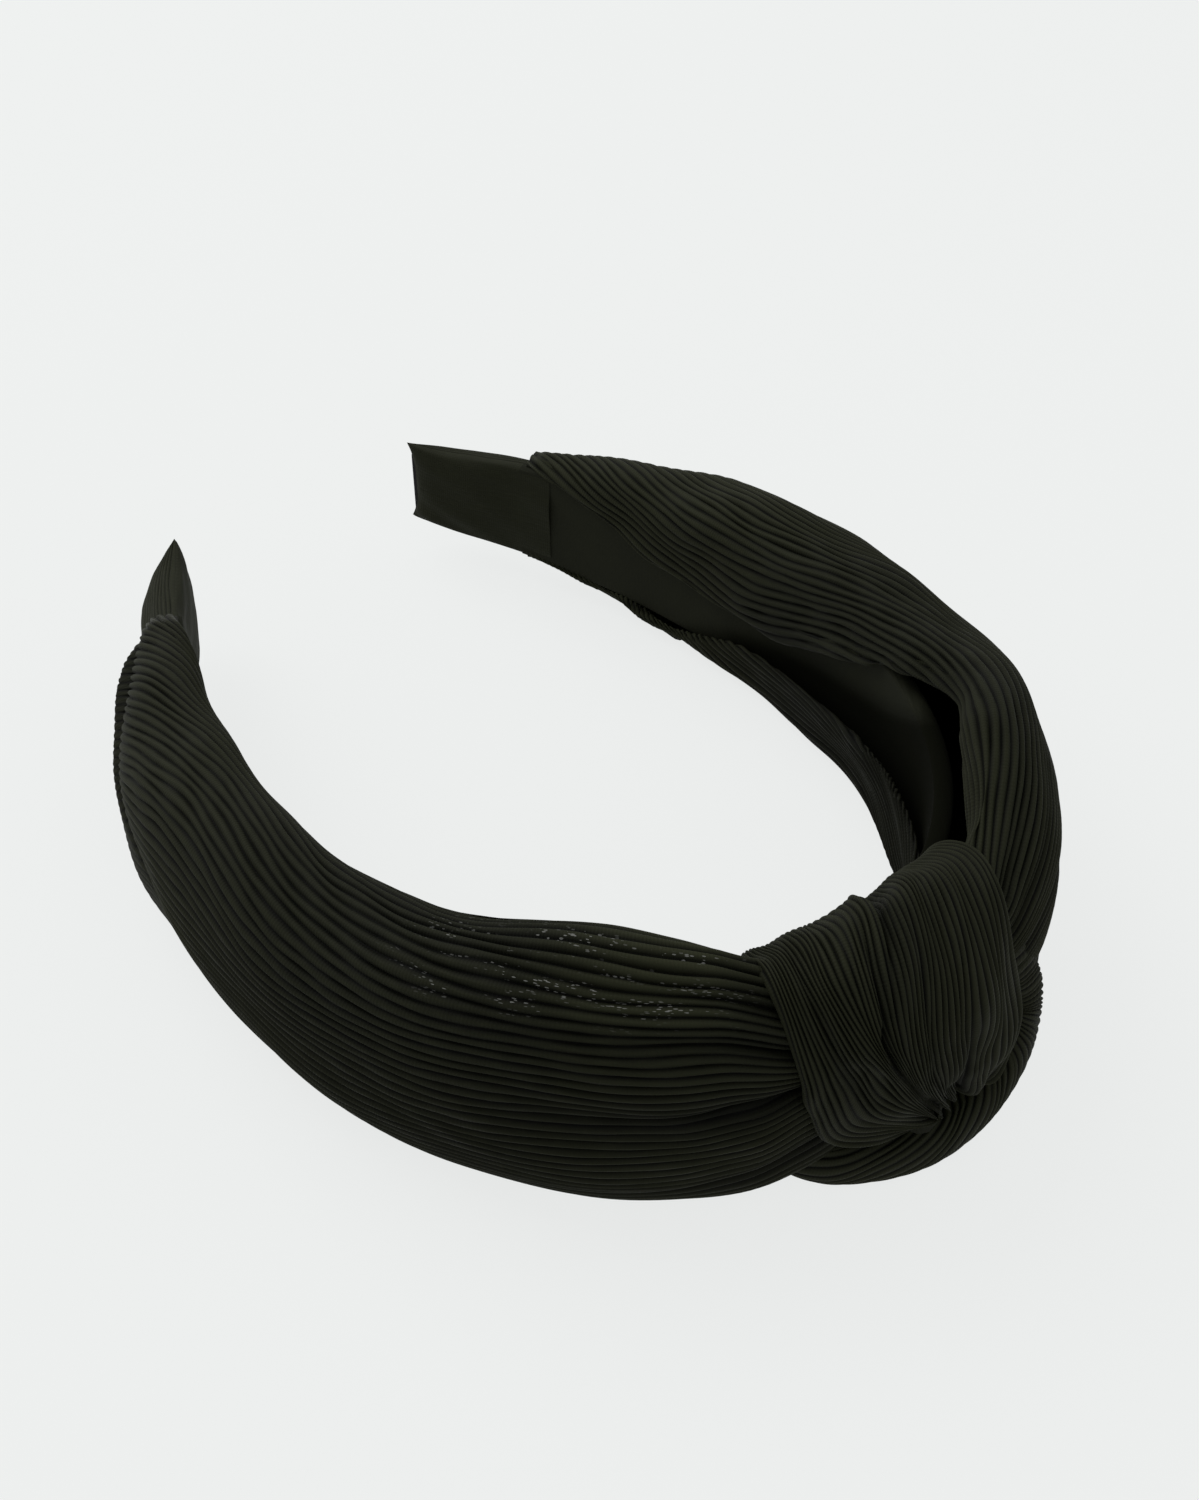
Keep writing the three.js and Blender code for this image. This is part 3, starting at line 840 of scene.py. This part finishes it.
# The lower loop's middle line in (s, out, z), from behind the wrap's right edge round to the left.
LOOP_PATH = ((10, 10, 36), (14.5, 14, 30), (17.4, 17.4, 22), (17.2, 18.8, 16.5), (14.6, 19.4, 10.5),
             (10.3, 18.9, 6.3), (5.4, 17.9, 4.5), (0.6, 16.7, 4.3), (-5, 14.5, 4.7), (-9.5, 12.6, 5.6),
             (-14, 9.5, 7.5))
LOOP_SEED = 71
LOOP_ROWS = 170
LOOP_RIBS = 15
LOOP_RIB_PITCH = 1.2
LOOP_RIB_DEPTH = 0.42
LOOP_RIB_WANDER = 0.3
LOOP_DEPTH_REACH = 40.0    # the larger, the faster a rib's depth changes along it
LOOP_POWER = 0.9
LOOP_LENGTH = 70.0
# Painted light over the whole loop.
LOOP_PAINTED_LIGHT = 0.18
LOOP_INNER_SHARE = 1.9     # how much deeper the loop is on its inner side, where it rests on the covers
loop_half_width = smooth((0, 3.4), (0.2, 4.4), (0.4, 4.8), (0.7, 4.5), (1, 3.6))
loop_half_depth = smooth((0, 2.2), (0.3, 2.9), (0.6, 3.1), (1, 2.2))
loop_twist = smooth((0, 0), (0.12, 8), (0.28, 20), (0.42, 28), (0.7, 38), (1, 44))   # in ribs


def loop_frame(v):
    """The loop's middle line, with the directions across it: up the fabric's width, and outwards."""
    line = through(LOOP_PATH, v * (len(LOOP_PATH) - 1))
    centre = place(1, *line.T)
    ahead = unit(np.gradient(centre, axis=0))
    outward = unit(square_to(ahead, place(1, line[:, 0], line[:, 1] + 1, line[:, 2]) - centre))
    return centre[:, None], np.cross(ahead, outward)[:, None], outward[:, None]


def knot_loop():
    """The ribbed loop that passes below the wrap, gathered from the right cover."""
    ribs = rib_columns(0, LOOP_RIBS)
    v = np.linspace(0, 1, LOOP_ROWS)
    centre, aside, outward = loop_frame(v)
    wander = ripple(LOOP_SEED, 8.0, 0.6)
    height_at = rib_height(LOOP_SEED + 5, LOOP_RIB_DEPTH)
    rib, along = ribs[None], v[:, None]
    angle = (rib + LOOP_RIB_WANDER * wander(rib, along) - loop_twist(along)) / LOOP_RIBS * 2 * math.pi
    ridge = np.repeat(rib_ridge(rib), LOOP_ROWS, axis=0)
    sink = (1 - ridge) * height_at(rib, LOOP_DEPTH_REACH * along)
    inner_share = np.where(np.cos(angle) < 0, LOOP_INNER_SHARE, 1)
    wide = (loop_half_width(along) - sink) * power(np.sin(angle), LOOP_POWER)
    deep = (loop_half_depth(along) * inner_share - sink) * power(np.cos(angle), LOOP_POWER)
    points = centre + aside * wide[..., None] + outward * deep[..., None]
    points[..., 2] = np.maximum(points[..., 2], ABOVE_TABLE)
    uv = np.stack([np.tile(ribs * LOOP_RIB_PITCH, LOOP_ROWS), np.repeat(v * LOOP_LENGTH, len(ribs))], axis=1)
    # Painted shade in the rib valleys, through ridge.
    return new_piece("knot_under_loop", points.reshape(-1, 3), grid_quads(*ridge.shape), RIBBED, uv,
                     ridge=ridge, pale=np.full_like(ridge, LOOP_PAINTED_LIGHT))


# ---- Inside ribbon ----

core_height = smooth((0, 30), (76, 27), (162, 19.5), (190, 14))
core_middle = smooth((0, 21.5), (190, 16.5))
pocket_line = smooth((42, 58), (50, 40), (56, 34), (70, 25), (90, 19), (110, 12))   # painted shade below this height
RIBBON_GAP = 0.75          # from the core's face to the ribbon's
RIBBON_MARGIN = 0.35       # how far the ribbon passes the core's edges
RIBBON_TURN = 0.16         # share of the ribbon's width turned round each edge of the core
RIBBON_TURN_RISE = 0.7
RIBBON_WAVE = 0.12
RIBBON_WAVE_REACH = 40.0   # the ribbon's width, for its waves
RIBBON_FACE_STEPS = 46
RIBBON_TURN_STEPS = 12
RIBBON_ROW = 2.0
RIBBON_END = 164.0


def inside_ribbon(name, side, seed):
    """The smooth ribbon glued along one arm's inner side, its long edges turned round the core."""
    stations = np.arange(0, RIBBON_END + 0.1, RIBBON_ROW)
    wave = ripple(seed, 60.0, 34.0)
    # Round the core's section: from behind its top edge, down the inner face, to behind its bottom edge.
    share = np.concatenate([np.linspace(-RIBBON_TURN, 0, RIBBON_TURN_STEPS),
                            np.linspace(0, 1, RIBBON_FACE_STEPS)[1:-1],
                            np.linspace(1, 1 + RIBBON_TURN, RIBBON_TURN_STEPS)])
    on_face = np.clip(share, 0, 1)
    beyond = np.abs(share - on_face) / RIBBON_TURN
    turned = beyond > 0
    rise = np.sign(0.5 - share) * np.sin(beyond * math.pi) * RIBBON_TURN_RISE * turned
    face_out = -(CORE_HALF + RIBBON_GAP) * np.where(turned, np.cos(beyond * math.pi), 1)
    s, column = np.meshgrid(stations, share, indexing="ij")
    out = face_out - RIBBON_WAVE * wave(RIBBON_WAVE_REACH * column, s) * ~turned * np.sin(math.pi * on_face)
    half = core_height(s) / 2 + RIBBON_MARGIN
    z = core_middle(s) + half * (1 - 2 * on_face) + rise
    uv = np.stack([z.ravel(), s.ravel()], axis=1)
    # Painted shade: the ribbon is made nearly black below the pocket line, near the knot.
    pocket = (1 - fade(z - pocket_line(s), -3, 4)) * (1 - fade(s, 108, 118))
    points = place(side, s, out, z).reshape(-1, 3)
    return new_piece(name, points, grid_quads(*s.shape), SMOOTH, uv, pocket=pocket)


# ---- Wrapped ends ----

sleeve_top = smooth((157, 28.2), (163, 27.8), (176, 26.1), (183, 25.4), (190, 25.6))
sleeve_bottom = smooth((157, 7.2), (163, 6.7), (176, 7.2), (190, 7.8))
sleeve_depth = smooth((157, 5.6), (162, 6.9), (176, 6.5), (182, 5.5), (186.5, 3.4), (190, 0.9))
sleeve_inner = smooth((157, 2), (164, 2), (176, 3), (184, 2.6), (190, 1))
SLEEVE_FROM = 157.0
SLEEVE_TIP = 189.2
SLEEVE_ROWS = 44
SLEEVE_ROW_POWER = 0.8     # below 1, rows lie closer together towards the tip
SLEEVE_RIBS = 62
SLEEVE_RIB_PITCH = 1.3
SLEEVE_RIB_DEPTH = 0.26
SLEEVE_INNER_RIBS = 0.12   # the ribs' depth on the smooth inner side, as a share
SLEEVE_WANDER = 0.1
SLEEVE_EDGE_POWER = 0.8    # 1 is an ellipse, less is squarer
SLEEVE_OUTER_POWER = 0.9
SLEEVE_INNER_POWER = 0.45
# Painted light over the whole sleeve.
SLEEVE_PAINTED_LIGHT = 0.16
TIP_ROUND_FROM = 0.93      # share of the sleeve's length where its tip starts to close
TIP_THICKNESS = 0.08       # share of the thickness that is left at the tip


def end_sleeve(name, side, seed, glued):
    """The flat wrapped end of one arm: fine lengthwise ribs outside, smooth inside."""
    columns = rib_columns(0, SLEEVE_RIBS)
    share, column = np.meshgrid(np.linspace(0, 1, SLEEVE_ROWS) ** SLEEVE_ROW_POWER, columns, indexing="ij")
    angle = 2 * math.pi * column / SLEEVE_RIBS
    outer = np.cos(angle) > 0
    up = power(np.sin(angle), SLEEVE_EDGE_POWER)
    wander = ripple(seed, 9.0, 20.0)
    height_at = rib_height(seed + 5, SLEEVE_RIB_DEPTH)
    ridge = rib_ridge(column)
    s = SLEEVE_FROM + share * (SLEEVE_TIP - SLEEVE_FROM)
    # The tip's edge is a shallow curve: its corners reach past its middle.
    reach = s + share ** 6 * (1.5 * np.abs(up) ** 3 - 0.5)
    closing = np.maximum(0, share - TIP_ROUND_FROM) / (1 - TIP_ROUND_FROM)
    flat = np.sqrt(np.maximum(0, 1 - closing ** 2))
    rib_share = SLEEVE_INNER_RIBS + (1 - SLEEVE_INNER_RIBS) * outer
    sink = (1 - ridge) * height_at(column, s) * rib_share * (0.25 + 0.75 * flat)
    thick = np.where(outer, sleeve_depth(s), sleeve_inner(s)) * (TIP_THICKNESS + (1 - TIP_THICKNESS) * flat)
    across = power(np.cos(angle), np.where(outer, SLEEVE_OUTER_POWER, SLEEVE_INNER_POWER))
    out = (thick - sink) * across + SLEEVE_WANDER * wander(column, s) * flat
    middle, half = (sleeve_top(s) + sleeve_bottom(s)) / 2, (sleeve_top(s) - sleeve_bottom(s)) / 2
    z = middle + (half - 0.5 * sink) * up
    glue = glued * (1 - fade(reach, SEAM_AT + 1.2, SEAM_AT + 3.4)) * fade(out, 1.5, 3)
    uv = np.stack([column.ravel() * SLEEVE_RIB_PITCH, reach.ravel()], axis=1)
    # Painted shade in the valleys of the outer ribs; the smooth inner side gets a flat 0.85.
    return new_piece(name, place(side, reach, out, z).reshape(-1, 3), grid_quads(*s.shape), RIBBED, uv,
                     ridge=np.where(outer, 0.5 + 0.5 * ridge, 0.85), glue=glue,
                     pale=np.full_like(ridge, SLEEVE_PAINTED_LIGHT))


# ---- Making the pieces and attaching some to their bodies ----

def hinge_blend(piece):
    """Bakes the piece's placement into its mesh."""
    middle = float(core_middle(HINGE_AT))
    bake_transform(piece)


NEAR_COVER = Cover(side=-1, seed=11, creased=1.3, glued=1.0, flecked=1.0, folded=1.0, bulge=0.0,
                   gather=-0.15, lip_out=snug_lip_out)
FAR_COVER = Cover(side=1, seed=23, creased=0.8, glued=0.4, flecked=0.0, folded=0.0, bulge=1.0,
                  gather=0.18, lip_out=open_lip_out)

covers = {
    "left": arm_cover("left_cover_fabric", NEAR_COVER),
    "right": arm_cover("right_cover_fabric", FAR_COVER),
}
sleeves = {
    "left": end_sleeve("left_end_sleeve", -1, seed=51, glued=1.0),
    "right": end_sleeve("right_end_sleeve", 1, seed=52, glued=0.3),
}
ribbons = {
    "left": inside_ribbon("left_lining_ribbon", -1, seed=61),
    "right": inside_ribbon("right_lining_ribbon", 1, seed=62),
}
wrap = knot_wrap()
loop = knot_loop()

for arm, side in (("left", -1), ("right", 1)):
    body = arm + "_arm"
    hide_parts(arm + "_cover")
    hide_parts(arm + "_end_wrap")
    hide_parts(arm + "_lining", "crown_lining")
    hinge_blend(covers[arm])
    hinge_blend(ribbons[arm])
    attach(sleeves[arm], body)
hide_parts("knot_front_loop")
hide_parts("knot_back_loop")
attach(wrap, "crown")
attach(loop, "crown")

for node in ("crown_core", "left_core", "right_core"):
    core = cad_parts[node]
    for material_slot in core.material_slots:
        material_slot.material = PLASTIC

# ---- Table, lights and camera ----

TABLE_REACH = 3.0          # metres from the middle to each edge
SKY_COLOUR = (0.985, 1.0, 0.995, 1)
SKY_STRENGTH = 0.9
WINDOW_AT = (-0.3, 1.05, 1.2)
WINDOW_SIZE = (1.3, 1.3)
WINDOW_WATTS = 19

# The photo's own view, found by fitting a camera to the outline. Degrees and millimetres.
CAMERA_AZIMUTH = -37.5
CAMERA_ELEVATION = 43.41
CAMERA_DISTANCE = 321.4
CAMERA_TARGET = (4.93, -0.92, 21.25)
CAMERA_LENS = 45.37
CAMERA_SENSOR = 36


def table():
    mesh = bpy.data.meshes.new("table")
    corners = [(-1, -1), (1, -1), (1, 1), (-1, 1)]
    mesh.from_pydata([(x * TABLE_REACH, y * TABLE_REACH, 0) for x, y in corners], [], [(0, 1, 2, 3)])
    mesh.materials.append(table_top())
    floor = bpy.data.objects.new("table", mesh)
    bpy.context.scene.collection.objects.link(floor)


def area_light(name, place_at, aim, size, watts):
    light = bpy.data.lights.new(name, "AREA")
    light.shape = "RECTANGLE"
    light.size, light.size_y = size
    light.energy = watts
    lamp = bpy.data.objects.new(name, light)
    lamp.location = place_at
    lamp.rotation_mode = "QUATERNION"
    lamp.rotation_quaternion = (Vector(aim) - Vector(place_at)).to_track_quat("-Z", "Y")
    bpy.context.scene.collection.objects.link(lamp)


def studio():
    world = bpy.data.worlds.new("studio")
    world.use_nodes = True
    sky = world.node_tree.nodes["Background"]
    sky.inputs["Color"].default_value = SKY_COLOUR
    sky.inputs["Strength"].default_value = SKY_STRENGTH
    bpy.context.scene.world = world
    area_light("window", WINDOW_AT, (0, 0, 0), WINDOW_SIZE, WINDOW_WATTS)
    bpy.context.scene.view_settings.view_transform = "Standard"


def camera():
    azimuth, elevation = math.radians(CAMERA_AZIMUTH), math.radians(CAMERA_ELEVATION)
    back = Vector((math.sin(azimuth) * math.cos(elevation), -math.cos(azimuth) * math.cos(elevation),
                   math.sin(elevation)))
    data = bpy.data.cameras.new("camera")
    data.sensor_fit = "AUTO"
    data.sensor_width = CAMERA_SENSOR
    data.lens = CAMERA_LENS
    data.clip_start, data.clip_end = 0.01, 20
    view = bpy.data.objects.new("camera", data)
    view.location = (Vector(CAMERA_TARGET) + back * CAMERA_DISTANCE) * MM
    view.rotation_mode = "QUATERNION"
    view.rotation_quaternion = (-back).to_track_quat("-Z", "Y")
    bpy.context.scene.collection.objects.link(view)
    bpy.context.scene.camera = view


table()
studio()
camera()
